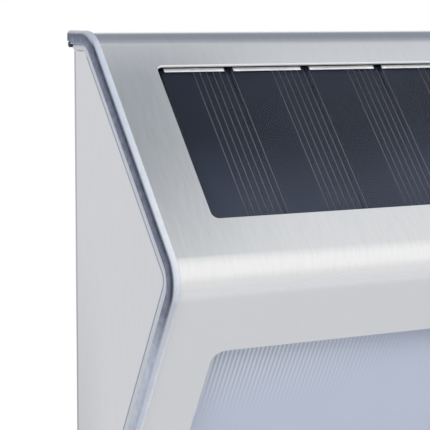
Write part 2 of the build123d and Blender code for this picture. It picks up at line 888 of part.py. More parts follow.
with BuildPart() as inductor:
    with BuildSketch(wall_plane(board_front)):
        with Locations((board_x + coil_x, board_z)):
            Rectangle(coil_width, coil_width)
    extrude(amount=coil_height)
    chamfer(inductor.edges().filter_by(Axis.Y), coil_corner)
finish(inductor, "inductor")

knob_start = switch_x - switch_travel / 2
switch_top = rear_plate + fit
with BuildPart() as switch_body:
    with BuildSketch(wall_plane(switch_top)):
        with Locations((switch_x, board_z)):
            Rectangle(switch_width, switch_height)
            Rectangle(
                knob_base_width + switch_travel + 2 * slack,
                knob_width + 4 * slack,
                mode=Mode.SUBTRACT,
            )
    extrude(amount=board_back - switch_top)
    with BuildSketch(wall_plane(switch_top + knob_base + 3 * slack)):
        with Locations((switch_x, board_z)):
            Rectangle(switch_width, switch_height)
    extrude(amount=board_back - switch_top - knob_base - 3 * slack)
finish(switch_body, "switch_body")

with BuildPart() as switch_knob:
    with BuildSketch(wall_plane(switch_top + slack)):
        with Locations((knob_start, board_z)):
            Rectangle(knob_base_width, knob_width + 2 * slack)
    extrude(amount=knob_base)
    with BuildSketch(wall_plane(knob_tip_recess)):
        with Locations((knob_start, board_z)):
            Rectangle(knob_width, knob_width)
    extrude(amount=switch_top + slack - knob_tip_recess)
finish(switch_knob, "switch_knob")

# ---------------------------------------------------------------------------
# Leads, all held inside the housing
# ---------------------------------------------------------------------------


def lead(label, *route):
    """An insulated lead along a route of straight runs joined by bends."""
    with BuildPart() as wire:
        with BuildLine():
            run = FilletPolyline(*route, radius=lead_bend)
        with BuildSketch(Plane(origin=run @ 0, z_dir=run % 0)):
            RegularPolygon(lead_radius, lead_sides)
        sweep(path=run)
    print(label, "length", round(run.length, 1), "bend radius", lead_bend)
    finish(wire, label)


solar_lead_x = panel_width / 2 - solar_lead_inset
pad_y = -board_front
pad_turn = pad_y - 2 * lead_bend
tab_y = -bay_floor - tab_length / 2
bay_bottom = bay_height - bay_opening / 2 - bay_wall
# The leads of the diodes lie on the back of their board and run down it
lie_depth = diode_board_depth + diode_flange + diode_board_thickness + lead_radius
for side, colour in ((1, "red"), (-1, "black")):
    solar_z = board_z + solar_pad_z
    panel_end = solar_plane.from_local_coords(
        (side * solar_lead_x, -solar_lead_drop, -panel_rear)
    )
    lead(
        f"solar_lead_{colour}",
        panel_end,
        panel_end - up_normal * (2 * lead_bend),
        (side * solar_lead_x, -bay_floor - 2 * lead_radius, 0),
        (board_x + side * solar_pad_x, pad_turn, solar_z),
        (board_x + side * solar_pad_x, pad_y, solar_z),
    )
    battery_z = board_z + battery_pad_z
    lead(
        f"battery_lead_{colour}",
        (side * tab_x, tab_y, bay_height - tab_width / 2),
        (side * tab_x, tab_y, bay_bottom - lead_bend / 2),
        (board_x + side * battery_pad_x, pad_turn, battery_z),
        (board_x + side * battery_pad_x, pad_y, battery_z),
    )
    diode_x = board_x + side * diode_pad_x
    diode_z = board_z + diode_pad_z
    diode_end = lens_plane.from_local_coords((diode_x, diode_lead_rise, -lie_depth))
    lead(
        f"diode_lead_{colour}",
        diode_end,
        diode_end + down_slope * ((diode_z - diode_end.Z) / down_slope.Z),
        (diode_x, pad_y, diode_z),
    )

# ---------------------------------------------------------------------------
# Write every piece
# ---------------------------------------------------------------------------

for piece in pieces:
    export_step(piece, f"parts/{piece.label}.step")
print(len(pieces), "pieces")
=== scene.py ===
# %% [markdown]
# # A solar fence light
#
# The light is a wedge that hangs on a fence or a wall. A thin sheet of brushed
# stainless steel is bent over its front and lies in a clear moulded cover,
# whose rounded rims stand up at both sides of the sheet. Solar cells lie behind
# the upper window and a frosted, ribbed lens behind the lower one.
#
# The measured solids of every piece are loaded first. They are the frame of
# this scene, and nothing here moves or resizes them. The script then gives each
# of them its finish, and builds what is too fine for them.

# %% Load the measured pieces
from math import pi, radians

import bmesh
import bpy
from mathutils import Matrix, Vector, noise


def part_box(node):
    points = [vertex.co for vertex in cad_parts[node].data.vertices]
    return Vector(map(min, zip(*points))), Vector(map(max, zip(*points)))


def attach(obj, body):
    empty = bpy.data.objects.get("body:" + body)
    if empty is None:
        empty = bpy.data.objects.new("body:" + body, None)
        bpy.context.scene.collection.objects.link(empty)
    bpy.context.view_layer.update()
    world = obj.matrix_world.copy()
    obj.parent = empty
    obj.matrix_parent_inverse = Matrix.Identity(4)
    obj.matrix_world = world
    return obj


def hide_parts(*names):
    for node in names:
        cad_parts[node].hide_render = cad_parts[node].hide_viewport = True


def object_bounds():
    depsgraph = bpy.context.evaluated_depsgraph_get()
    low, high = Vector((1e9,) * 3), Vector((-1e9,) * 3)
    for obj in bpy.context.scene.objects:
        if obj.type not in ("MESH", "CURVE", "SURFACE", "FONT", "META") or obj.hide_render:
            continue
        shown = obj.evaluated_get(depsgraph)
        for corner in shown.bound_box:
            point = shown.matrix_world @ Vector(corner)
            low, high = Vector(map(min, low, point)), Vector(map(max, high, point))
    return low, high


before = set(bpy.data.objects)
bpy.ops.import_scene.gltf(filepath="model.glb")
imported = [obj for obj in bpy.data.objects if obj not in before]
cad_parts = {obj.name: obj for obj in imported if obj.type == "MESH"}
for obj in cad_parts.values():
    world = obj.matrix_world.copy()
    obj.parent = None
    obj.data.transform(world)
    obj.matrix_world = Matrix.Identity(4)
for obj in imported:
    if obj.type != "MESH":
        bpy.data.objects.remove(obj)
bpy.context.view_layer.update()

MM = 0.001

# %% [markdown]
# ## Camera
#
# The picture shows the upper left part of the light from close by, a little
# above it and well to its left. The camera comes first, because every later
# choice is judged through it. A long lens keeps the upright edges nearly
# parallel. The camera's own axes are written as the columns of its matrix:
# right, up and backwards.

# %% Make the camera
lens_in_pixels = 1680
frame_in_pixels = 430
sensor_width = 36
standpoint = Vector((-171.59, -277.24, 51.42)) * MM
looking = Vector((0.4766, 0.8706, -0.1219)).normalized()
to_the_right = Vector((0.8773, -0.4800, 0.0023)).normalized()
upwards = to_the_right.cross(looking)
turn = Matrix((to_the_right, upwards, -looking)).transposed().to_4x4()
camera = bpy.data.objects.new("camera", bpy.data.cameras.new("camera"))
camera.matrix_world = Matrix.Translation(standpoint) @ turn
camera.data.sensor_width = sensor_width
camera.data.lens = sensor_width * lens_in_pixels / frame_in_pixels
camera.data.clip_start = 0.01
bpy.context.scene.collection.objects.link(camera)
bpy.context.scene.camera = camera
print("lens", round(camera.data.lens, 1), "mm")

# %% [markdown]
# ## Shader sums
#
# A finish is easier to read as arithmetic than as a list of links. The class
# below wraps the output of a shader node, so that `1 - mask * 0.5` adds the two
# Math nodes that it needs. Colours and directions must not go through a Math
# node, which would turn them grey, so they have methods of their own.


# %% A socket that can be added and multiplied
class Wire:
    """The output of a shader node, for use in expressions."""

    def __init__(self, finish, socket):
        self.finish = finish
        self.socket = socket

    def __add__(self, other):
        return self.finish.add("Math", {"operation": "ADD"}, self, other)

    def __sub__(self, other):
        return self.finish.add("Math", {"operation": "SUBTRACT"}, self, other)

    def __rsub__(self, other):
        return self.finish.add("Math", {"operation": "SUBTRACT"}, other, self)

    def __mul__(self, other):
        return self.finish.add("Math", {"operation": "MULTIPLY"}, self, other)

    __radd__ = __add__
    __rmul__ = __mul__

    def ramp(self, low, high):
        """0 below the low value and 1 above the high one, with a soft start and end."""
        settings = {"interpolation_type": "SMOOTHSTEP"}
        return self.finish.add("MapRange", settings, self, low, high)

    def size(self):
        """The value without its sign."""
        return self.finish.add("Math", {"operation": "ABSOLUTE"}, self)

    def near(self, middle, reach):
        """1 at the middle value, falling to 0 at this distance from it."""
        return 1 - (self - middle).size().ramp(0.0, reach)

    def least(self, other):
        """The smaller of two values."""
        return self.finish.add("Math", {"operation": "MINIMUM"}, self, other)

    def most(self, other):
        """The larger of two values."""
        return self.finish.add("Math", {"operation": "MAXIMUM"}, self, other)


# %% [markdown]
# `Nodes` writes into any shader tree. Its method `add` makes every kind of node:
# the kind comes first, then its settings, then the values or wires of its
# sockets, in order or by name. `mix` blends two colours, and `background` is 1
# for the rays that should meet a plain white backdrop: the camera's own, and
# those that gloss and clear pieces send on.


# %% Nodes of a shader tree
class Nodes:
    """A shader tree that is written in expressions."""

    def __init__(self, tree):
        self.tree = tree

    def fill(self, socket, value):
        if isinstance(value, Wire):
            self.tree.links.new(value.socket, socket)
        elif socket.type == "RGBA":
            socket.default_value = (*value, 1)
        else:
            socket.default_value = value

    def add(self, kind, settings=None, *values, out=0, **named):
        node = self.tree.nodes.new("ShaderNode" + kind)
        for setting, value in (settings or {}).items():
            if setting == "stops":
                self.set_stops(node.color_ramp, value)
            else:
                setattr(node, setting, value)
        for socket, value in zip(node.inputs, values):
            self.fill(socket, value)
        for socket, value in named.items():
            self.fill(node.inputs[socket.replace("_", " ")], value)
        return Wire(self, node.outputs[out])

    def set_stops(self, ramp, stops):
        for place, colour in stops:
            ramp.elements.new(place).color = (*colour, 1)
        ramp.elements.remove(ramp.elements[-1])
        ramp.elements.remove(ramp.elements[0])

    def mix(self, share, one, other):
        node = self.tree.nodes.new("ShaderNodeMix")
        node.data_type = "RGBA"
        for index, value in ((0, share), (6, one), (7, other)):
            self.fill(node.inputs[index], value)
        return Wire(self, node.outputs[2])

    def background(self):
        kinds = [self.add("LightPath", out=f"Is {kind} Ray")
                 for kind in ("Camera", "Glossy", "Transmission")]
        return kinds[0] + kinds[1] + kinds[2]


# %% [markdown]
# `Finish` is a material with one Principled shader. `along` gives a place in
# millimetres, and `relief` takes its depth in them. `grain` is noise with a
# number of grains to a metre of its own for each direction, so it can be drawn
# out along one of them, which is what brushing and drawing marks look like.


# %% A material and its nodes
class Finish(Nodes):
    """One material, built on one Principled shader."""

    def __init__(self, name, **constants):
        self.material = bpy.data.materials.new(name)
        self.material.use_nodes = True
        super().__init__(self.material.node_tree)
        self.shader = self.tree.nodes["Principled BSDF"]
        self.set(**constants)

    def set(self, **values):
        for socket, value in values.items():
            self.fill(self.shader.inputs[socket.replace("_", " ")], value)

    def place(self):
        """The place of a point of the piece, in metres."""
        return self.add("TexCoord", out="Object")

    def along(self, axis):
        """How far along X, Y or Z a point is, in millimetres."""
        return self.add("SeparateXYZ", None, self.place(), out=axis) * (1 / MM)

    def grain(self, x, y, z, detail=2.0, roughness=0.55):
        """Noise with so many grains to a metre along X, Y and Z."""
        place = self.add("VectorMath", {"operation": "MULTIPLY"}, self.place(), (x, y, z))
        return self.add("TexNoise", None, Vector=place, Scale=1.0, Detail=detail,
                        Roughness=roughness)

    def relief(self, height, depth):
        """Raise the surface by a height, times a depth in millimetres."""
        self.set(Normal=self.add("Bump", None, Distance=depth * MM, Height=height))

    def end_with(self, shader):
        """Let another shader than the Principled one be the last."""
        self.fill(self.tree.nodes["Material Output"].inputs["Surface"], shader)


def seen(red, green, blue):
    """The colour that a screen shows as these numbers from 0 to 255, as linear light."""
    return tuple(((level / 255 + 0.055) / 1.055) ** 2.4 for level in (red, green, blue))


# %% [markdown]
# ## Dressing the measured solids
#
# The solids have knife edges and flat facets. On the real light every sheet and
# moulding has a broken edge, and the thin bright line along such an edge is
# much of what makes a picture of a product look true. Each visible solid is
# copied, its facets are joined into whole faces, and a small bevel breaks its
# edges. Weighted normals then keep large faces flat while the bends shade
# smoothly. The bevel only cuts into a solid, so the sizes stay. An edge is
# sharp from a bend of 30 degrees, and where some edges of a piece are to be
# broken widely, its other edges get a small share of that width.


# %% Helpers that turn worked meshes into pieces
sharp = radians(30)
narrow_share = 0.27


def piece_of(name, work, finish, body="lamp"):
    """Turn a worked mesh into a piece with a finish, riding on a body."""
    mesh = bpy.data.meshes.new(name)
    work.to_mesh(mesh)
    work.free()
    mesh.polygons.foreach_set("use_smooth", [True] * len(mesh.polygons))
    mesh.materials.append(finish.material)
    piece = bpy.data.objects.new(name, mesh)
    bpy.context.scene.collection.objects.link(piece)
    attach(piece, body)
    return piece


def dress(node, finish, edge=0.1, steps=2, body="lamp", clear_of=0.0, broad=None):
    """A finer copy that stands for a solid, with edges broken by so many millimetres.

    Where a test named broad is given, only edges that pass it are broken so widely.
    """
    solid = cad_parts[node]
    work = bmesh.new()
    work.from_mesh(solid.data)
    bmesh.ops.remove_doubles(work, verts=work.verts, dist=0.001 * MM)
    bmesh.ops.dissolve_limit(work, angle_limit=radians(0.5), verts=work.verts, edges=work.edges)
    if broad:
        share = work.edges.layers.float.new("bevel_weight_edge")
        for bend in work.edges:
            if bend.calc_face_angle() > sharp:
                bend[share] = 1.0 if broad(*[vert.co for vert in bend.verts]) else narrow_share
    piece = piece_of(node + "_dressed", work, finish, body)
    if clear_of:
        shrink = piece.modifiers.new("hair of air", "DISPLACE")
        shrink.strength = -clear_of * MM
        shrink.mid_level = 0
    bevel = piece.modifiers.new("broken edges", "BEVEL")
    bevel.width = edge * MM
    bevel.segments = steps
    bevel.angle_limit = sharp
    bevel.limit_method = "WEIGHT" if broad else "ANGLE"
    bevel.use_clamp_overlap = not broad
    even = piece.modifiers.new("even shading", "WEIGHTED_NORMAL")
    even.weight = 80
    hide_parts(node)
    print(piece.name, len(piece.data.polygons), "faces before its edges are broken")
    return piece


def coat(finish, *nodes):
    """Give a finish to solids whose shape is right as it is."""
    for node in nodes:
        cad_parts[node].data.materials[0] = finish.material
        print(node, "in", finish.material.name)


# %% [markdown]
# ## The two slopes
#
# Most fine detail lies in one of the two slopes. Their lines are the steel's
# own outer corners, before rounding: the top bend, the knee and the foot. With
# each slope's directions kept, a point can be given as so far across, so far up
# the slope from the middle of its window, and so deep below the steel. A
# window's rise is how far its lower edge lies up its slope.


# %% Directions of the slopes
class Slope:
    """A slope of the light, measured in millimetres from the middle of its window."""

    def __init__(self, foot, top, rise):
        self.up = (top - foot).normalized()
        self.out = Vector((0, -self.up.z, self.up.y))
        self.middle = foot + self.up * rise

    def at(self, across, up, depth=0.0):
        return (self.middle + Vector((across, 0, 0)) + self.up * up - self.out * depth) * MM


top_bend = Vector((0, -8.9, 47.2))
knee = Vector((0, -42.1, 8.1))
foot_bend = Vector((0, -11.1, -47.2))
solar_window = Vector((78.2, 32.14))
solar_window_rise = 11.55
lens_window = Vector((77.5, 35.55))
lens_window_rise = 11.95
upper = Slope(knee, top_bend, solar_window_rise + solar_window.y / 2)
lower = Slope(foot_bend, knee, lens_window_rise + lens_window.y / 2)
print("solar window's middle", [round(c, 4) for c in upper.at(0, 0)])
print("lens window's middle", [round(c, 4) for c in lower.at(0, 0)])

# %% [markdown]
# ## Depth below the steel
#
# The cover, its seal and the side sheets follow the steel's bent outline, one
# inside the other. Seen from the side, lines along that outline show where each
# begins. They all are at one depth below the steel, so the depth is what their
# colours go by. The outline is a line of straight runs with rounded corners,
# and is as far from its core line as its corner radius, everywhere. The core
# line comes from moving every run of the outline inwards by that radius, and
# the depth is the radius less the distance to the nearest run of the core line.

# %% Measure the depth in a shader
corner_radius = 6.5
outward = [Vector((0, 0, 1)), upper.out, lower.out, Vector((0, 0, -1))]
core_line = [Vector((0, 0, top_bend.z - corner_radius))]
for bend, before, after in zip((top_bend, knee, foot_bend), outward, outward[1:]):
    core_line.append(bend - (before + after) * (corner_radius / (1 + before.dot(after))))
core_line.append(Vector((0, 0, foot_bend.z + corner_radius)))
print("core line", [tuple(round(c, 2) for c in point.yz) for point in core_line])


def depth_below_steel(finish):
    """Millimetres between the steel's outer face and a point, as a wire."""
    flat = (0, 1 / MM, 1 / MM)
    here = finish.add("VectorMath", {"operation": "MULTIPLY"}, finish.place(), flat)
    nearest = None
    for start, end in zip(core_line, core_line[1:]):
        run = end - start
        offset = finish.add("VectorMath", {"operation": "SUBTRACT"}, here, start)
        share = finish.add("VectorMath", {"operation": "DOT_PRODUCT"}, offset,
                           run / run.length_squared, out="Value")
        held = finish.add("Math", {"operation": "ADD", "use_clamp": True}, share, 0.0)
        foot = finish.add("VectorMath", {"operation": "SCALE"}, run, Scale=held)
        gap = finish.add("VectorMath", {"operation": "DISTANCE"}, offset, foot, out="Value")
        nearest = nearest.least(gap) if nearest else gap
    return corner_radius - nearest


# %% [markdown]
# ## Brushed steel
#
# The sheet is ground with a belt that runs down the slopes, so its marks are
# long in that direction and very narrow across it. Two noises do this, fine
# marks and coarser ones. They change how bright and how rough the steel is, and
# the fine ones raise it by less than a thousandth of a millimetre. Roughness
# spreads the reflection of the studio softly, which is what sets brushed steel
# apart from polished steel.


# %% Make a brushed steel
def brushed_steel(name, across, down, rough):
    """Steel with marks that are narrow along the axes in across and long along down."""
    steel = Finish(name, Metallic=1.0)

    def marks(narrow, long, detail):
        return steel.grain(*[narrow * a + long * d for a, d in zip(across, down)], detail=detail)

    fine = marks(4200, 320, 3.0)
    coarse = marks(1100, 120, 2.0)
    wear = fine * 0.7 + coarse * 0.3
    wear_and_painted_light = steel.mix(wear.ramp(0.3, 0.7), (0.596, 0.606, 0.616), (0.626, 0.637, 0.650))
    steel.set(Base_Color=wear_and_painted_light, Roughness=(rough - 0.04) + fine * 0.05 + coarse * 0.03)
    return steel, wear_and_painted_light, fine


# %% [markdown]
# The face has three things of its own. Its sheared edge along the top of the
# solar window is rounded more than the others, so it shows as a white line, and
# the sheared face below it is pale and matt. On the lower slope a painted
# highlight line and a painted shade line run beside the rim. And the sheet bows a
# little on its way into the top bend.


# %% Make the steel face
window_round = 1.2
slack = 0.1


def solar_top(*ends):
    """Whether an edge of the steel is the front one along the top of the solar window."""
    half_width, half_height = solar_window / 2
    for end in ends:
        offset = end / MM - upper.middle
        across, up, out = offset.x, offset.dot(upper.up), offset.dot(upper.out)
        if abs(out) > 2 * slack or abs(across) > half_width + slack:
            return False
        if not half_height - window_round <= up <= half_height + slack:
            return False
    return True


steel_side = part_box("face_plate")[1].x / MM
brushed_face, wear_and_painted_light, fine = brushed_steel("brushed_face_finish", (1, 0, 0), (0, 1, 1), 0.2)
sideways = brushed_face.along("X").size()
height = brushed_face.along("Z")
low_down = 1 - height.ramp(-9.0, 2.0)
# A painted highlight line and a painted shade line run beside the rim on the lower slope.
painted_highlight_line = low_down * sideways.near(steel_side - 0.7, 0.25)
painted_shade_line = low_down * sideways.ramp(steel_side - 0.55, steel_side - 0.3)
facing = brushed_face.add("VectorMath", {"operation": "DOT_PRODUCT"},
                          brushed_face.add("TexCoord", out="Normal"), -upper.up, out="Value")
sheared = facing.ramp(0.6, 0.9)
# From here the steel's colour carries painted light as well as its wear.
wear_and_painted_light = brushed_face.mix(painted_highlight_line, wear_and_painted_light, (0.85, 0.85, 0.86))
wear_and_painted_light = brushed_face.mix(painted_shade_line, wear_and_painted_light, (0.18, 0.18, 0.21))
wear_and_painted_light = brushed_face.mix(sheared, wear_and_painted_light, (0.80, 0.80, 0.82))
brushed_face.set(Base_Color=wear_and_painted_light, Metallic=1 - sheared)
bow_start = 39.5
bow_length = 6.2
bow = (height - bow_start).least(bow_length).most(0.0)
brushed_face.relief(bow * bow * -0.0055 + fine * 0.0005, 1.0)
dress("face_plate", brushed_face, edge=0.28, steps=3, broad=solar_top)

# %% [markdown]
# The side sheets are brushed upright and a little rougher. Painted shade darkens
# them along their rear edge, and a little towards their lower rear corner.

# %% Make the side panels
brushed_side, wear_and_painted_light, fine = brushed_steel("brushed_side_finish", (1, 1, 0), (0, 0, 1), 0.3)
backwards = brushed_side.along("Y")
# Painted shade: a dark line along the rear edge, and a little towards the lower rear corner.
painted_rear_shade = backwards.ramp(-1.7, -1.3) * 0.45
painted_corner_shade = backwards.ramp(-16, -2) * (1 - brushed_side.along("Z").ramp(-30, 20))
shaded = brushed_side.mix(painted_rear_shade + painted_corner_shade * 0.15, wear_and_painted_light, (0.10, 0.11, 0.13))
brushed_side.set(Base_Color=shaded)
brushed_side.relief(fine, 0.0005)
for side in ("left", "right"):
    dress("side_panel_" + side, brushed_side, edge=0.06)

# %% [markdown]
# ## Clear cover
#
# The cover is moulded in clear acrylic. Only its two rims and its rear end are
# bare, and elsewhere steel lies on it. A refracting solid would be the obvious
# finish, but what lies behind it would then get almost no light, because a
# renderer finds hardly any path through it. So the sheet is nearly fully
# see-through where it covers the windows. The rims are opaque, and their colours
# are painted light: the reflection and refraction that such a rim shows. They
# have a pale front, where it looks at the seal behind it, and a dark bluish
# flank, where it looks into its own length. Lower down the flank is painted
# pale, the front is painted darker on the top ledge, and a painted highlight
# runs along the flank near its rear.

# %% Make the cover
cover_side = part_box("front_cover")[1].x / MM
clear = Finish("clear_cover_finish", IOR=1.49)
sideways = clear.along("X").size()
height = clear.along("Z")
deep = depth_below_steel(clear)
rim = sideways.ramp(steel_side - 0.6, steel_side - 0.2)
inner = 1 - sideways.ramp(steel_side + 0.4, cover_side - 0.4)
low_down = 1 - height.ramp(-9.0, 6.5)
towards_ledge = height.ramp(10.0, 42.0)
ledge = height.ramp(44.5, 46.5)
flow = clear.grain(900, 650, 650, detail=4.0, roughness=0.65)
shade = flow.ramp(0.35, 0.65)

flank = sideways.ramp(cover_side - 0.45, cover_side - 0.1)
flank = flank * (1 - ledge * (1 - deep.ramp(-0.1, 0.4)))
# A painted highlight line runs along the flank near its rear, fainter up high.
painted_rear_highlight = deep.near(2.0, 0.3) * (1 - height.ramp(15.0, 45.0) * 0.75)
# Painted light: the flank is dark bluish above and pale lower down.
flank_front = clear.mix(shade, (0.004, 0.010, 0.040), (0.036, 0.046, 0.092))
flank_rear = clear.mix(shade, (0.030, 0.058, 0.140), (0.110, 0.150, 0.245))
flank_top = clear.mix(deep.ramp(0.3, 1.5), flank_front, flank_rear)
flank_low = clear.mix(shade, (0.36, 0.41, 0.51), (0.46, 0.50, 0.59))
flank_colour = clear.mix(low_down, flank_top, flank_low)
flank_colour = clear.mix(painted_rear_highlight, flank_colour, (0.52, 0.54, 0.57))

front_knee = clear.mix(inner, (0.58, 0.63, 0.70), (0.66, 0.69, 0.74))
front_ledge = clear.mix(inner, (0.44, 0.50, 0.59), (0.53, 0.58, 0.65))
front_top = clear.mix(towards_ledge, front_knee, front_ledge)
front_low = clear.mix(inner, (0.62, 0.66, 0.75), (0.80, 0.84, 0.92))
front = clear.mix(low_down, front_top, front_low)
# Painted shade darkens the front on the top ledge, with a little of the flow noise.
front = clear.mix(shade * 0.12 + ledge * 0.4, front, (0.3, 0.33, 0.40))
rim_colour = clear.mix(flank, front, flank_colour)

least_alpha = 0.025
clear.set(Base_Color=clear.mix(rim, (0.02, 0.02, 0.02), rim_colour))
clear.set(Alpha=least_alpha + rim * (1 - least_alpha), Roughness=0.05 + flow * rim * 0.1)
clear.relief(flow * rim, 0.01)
dress("front_cover", clear, edge=0.06)

# %% [markdown]
# ## Seals
#
# A soft translucent strip keeps water out between the cover and the sides. A
# line of shade runs along its rear edge, and a finer one where the cover ends.
# A round black rubber cord lies in the cover's groove, against the wall.

# %% Make the strip and the cord
milky = Finish("clear_seal_finish", IOR=1.41)
cloud = milky.grain(700, 700, 700)
deep = depth_below_steel(milky)
milk = milky.mix(cloud, (0.50, 0.53, 0.57), (0.60, 0.63, 0.67))
milk = milky.mix(deep.near(3.1, 0.2) * 0.35, milk, (0.30, 0.28, 0.26))
milk = milky.mix(deep.near(4.0, 0.45), milk, (0.16, 0.20, 0.30))
milky.set(Base_Color=milk, Roughness=0.32 + cloud * 0.18)
milky.relief(milky.grain(2500, 2500, 2500), 0.01)
dress("cover_seal", milky, edge=0.12, clear_of=0.02)

rubber = Finish("black_rubber_finish")
bloom = rubber.grain(1800, 4000, 4000)
rubber.set(Base_Color=rubber.mix(bloom, (0.008, 0.008, 0.009), (0.03, 0.03, 0.032)))
rubber.set(Roughness=0.5 + bloom * 0.25)
rubber.relief(bloom, 0.02)
dress("wall_seal_cord", rubber, edge=0.1)

# %% [markdown]
# ## Solar panel
#
# Five cells lie side by side behind a sheet of glass. They are a very dark blue
# and almost without structure. Silver ribbons join them along their upper edge,
# and fine printed lines lead the current up to them: seven near each break
# between two ribbons. The lines are far too thin for the measured solids, so
# they are built here as slats that lie on the cells.

# %% Finish the cells, the glass and the ribbons
cell = Finish("solar_cell_finish", IOR=1.33)
blue = cell.grain(45, 45, 45, detail=3.0).ramp(0.35, 0.7)
speck = cell.grain(300, 120, 120)
top_colour = cell.mix(blue, (0.003, 0.007, 0.018), (0.007, 0.012, 0.028))
# Painted light: the cells are lighter towards their foot.
painted_light_foot_colour = cell.mix(blue, (0.020, 0.027, 0.050), (0.030, 0.039, 0.068))
cell.set(Base_Color=cell.mix(cell.along("Z").ramp(14, 32), painted_light_foot_colour, top_colour))
cell.set(Roughness=0.2 + speck * 0.06)
dress("solar_cells", cell, edge=0.03, steps=1, clear_of=0.01)

glass = Finish("panel_glass_finish", IOR=1.5)
film = glass.grain(350, 350, 350)
glass.set(Base_Color=glass.mix(film, (0.02, 0.02, 0.02), (0.05, 0.05, 0.06)))
glass.set(Alpha=0.02 + film * 0.02, Roughness=0.02 + film.ramp(0.4, 0.8) * 0.05)
dress("panel_glass", glass, edge=0.1, clear_of=0.01)

# The ribbons, and the solder drops that share their finish, glow faintly: painted light that lifts
# them in the shade under the steel.
ribbon = Finish("silver_ribbon_glow_finish", Metallic=0.1, Emission_Strength=0.15)
dip = ribbon.grain(900, 2400, 2400, detail=3.0)
tinned_and_glow = ribbon.mix(dip.ramp(0.3, 0.7), (0.80, 0.81, 0.83), (0.97, 0.97, 0.97))
ribbon.set(Base_Color=tinned_and_glow, Emission_Color=tinned_and_glow)
ribbon.set(Roughness=0.35 + dip * 0.3)
ribbon.relief(dip, 0.03)
dress("bus_ribbons", ribbon, edge=0.03)

backing = Finish("panel_board_finish")
weave = backing.grain(1500, 1500, 1500)
backing.set(Base_Color=backing.mix(weave, (0.02, 0.05, 0.03), (0.03, 0.08, 0.045)))
backing.set(Roughness=0.4 + weave * 0.2)
coat(backing, "panel_board", "control_board")

# %% [markdown]
# The printed lines run down the cells. Each is a slat with a rectangular
# section, made from its two ends. The last two of each group run up through the
# break between the ribbons. Where two cells meet, a strip of the same blue film
# covers the joint, a little behind the lines.


# %% Print the lines on the cells
def slat(work, slope, ends, width, depth, thickness):
    """A thin flat bar between two points (across, up) of a slope."""
    (x0, u0), (x1, u1) = ends
    half = width / 2
    corners = [(x0 - half, u0), (x0 + half, u0), (x1 + half, u1), (x1 - half, u1)]
    front = [work.verts.new(slope.at(x, u, depth)) for x, u in corners]
    back = [work.verts.new(slope.at(x, u, depth + thickness)) for x, u in corners]
    work.faces.new(front)
    work.faces.new(reversed(back))
    for i in range(4):
        j = (i + 1) % 4
        work.faces.new((front[j], front[i], back[i], back[j]))


cell_pitch = 16.1
groups = 5
lines_in_group = 7
lines_below_ribbon = 5
line_spacing = 1.32
group_pitch = 16.25
first_line = -1.5 * cell_pitch - 7.32
ribbon_foot = solar_window.y / 2 - 0.35
break_head = ribbon_foot + 1.3
print_foot = 0.9 - solar_window.y / 2
panel_foot = print_foot - 0.8
last_visible = solar_window.x / 2 + 1

lines = bmesh.new()
for group in range(groups):
    for i in range(lines_in_group):
        x = first_line + group * group_pitch + i * line_spacing
        if x < last_visible:
            head = ribbon_foot + 0.05 if i < lines_below_ribbon else break_head
            ends = (x, print_foot), (x, head)
            slat(lines, upper, ends, width=0.16, depth=1.335, thickness=0.012)
printed = Finish("cell_print_finish", Metallic=0.3)
paste = printed.grain(4000, 4000, 4000)
printed.set(Base_Color=printed.mix(paste, seen(84, 86, 94), seen(106, 108, 116)))
printed.set(Roughness=0.4 + paste * 0.2)
cell_lines = piece_of("cell_lines", lines, printed)
print("printed lines:", len(cell_lines.data.polygons) // 6)

joints = bmesh.new()
for group in range(groups - 1):
    x = (group - 1.5) * cell_pitch
    ends = (x, panel_foot), (x, break_head)
    slat(joints, upper, ends, width=0.3, depth=1.342, thickness=0.02)
cell_joints = piece_of("cell_joints", joints, cell)
print("covered joints:", len(cell_joints.data.polygons) // 6)

# %% [markdown]
# The ribbons are soldered down at their ends, where a drop of solder has drawn
# out into a small uneven cushion. Each is a squashed ball, pushed about with
# noise, that sits half in its ribbon. At the left end of the row, where the first
# cell stops short of the window, a slanting dark sheet is the painted shadow in
# that gap.

# %% Solder drops and the painted shadow at the margin
drop_inset = 1.7
drop_up = ribbon_foot + 0.36
drop_depth = 1.27
row_end = 37.5
tilt = Matrix((Vector((1, 0, 0)), upper.up, upper.out)).transposed().to_4x4()
half_size = Matrix.Diagonal((0.62 * MM, 0.4 * MM, 0.09 * MM, 1))
drops = bmesh.new()
for group in range(groups):
    for end in (-1, 1):
        x = (group - 2) * cell_pitch + end * (cell_pitch / 2 - drop_inset)
        if abs(x) < row_end:
            shape = Matrix.Translation(upper.at(x, drop_up, drop_depth)) @ tilt @ half_size
            bmesh.ops.create_uvsphere(drops, u_segments=20, v_segments=10, radius=1.0, matrix=shape)
bumps_to_a_metre = 1500
for vert in drops.verts:
    vert.co += upper.up * (noise.noise(vert.co * bumps_to_a_metre) * 0.05 * MM)
solder_drops = piece_of("solder_drops", drops, ribbon)
print("solder drops:", len(solder_drops.data.polygons), "faces")

# A near-black sheet stands for the shadow in the gap at the left end: painted shadow.
margin = bmesh.new()
window_left = -solar_window.x / 2
ends = (window_left + 0.3, print_foot - 0.9), (window_left + 0.85, ribbon_foot + 0.5)
slat(margin, upper, ends, width=0.9, depth=1.3, thickness=0.03)
dark = Finish("margin_shadow_finish", Roughness=0.4)
dust = dark.grain(800, 800, 800)
dark.set(Base_Color=dark.mix(dust, (0.002, 0.002, 0.003), (0.006, 0.006, 0.008)))
margin_shadow = piece_of("margin_shadow", margin, dark)

# %% [markdown]
# ## Lens and lamp
#
# The lens is frosted and ribbed on its back, so that the two diodes do not show
# as points. From the front the ribs shimmer through as fine upright stripes,
# clearest where light comes from the side and lost in the frosting elsewhere.
# That light and shade is painted: stripes from the place along X, in the colour,
# with a mask that lets them fade. The lens's upper part, mostly towards the
# right, is painted darker as shade from the steel's edge above it.

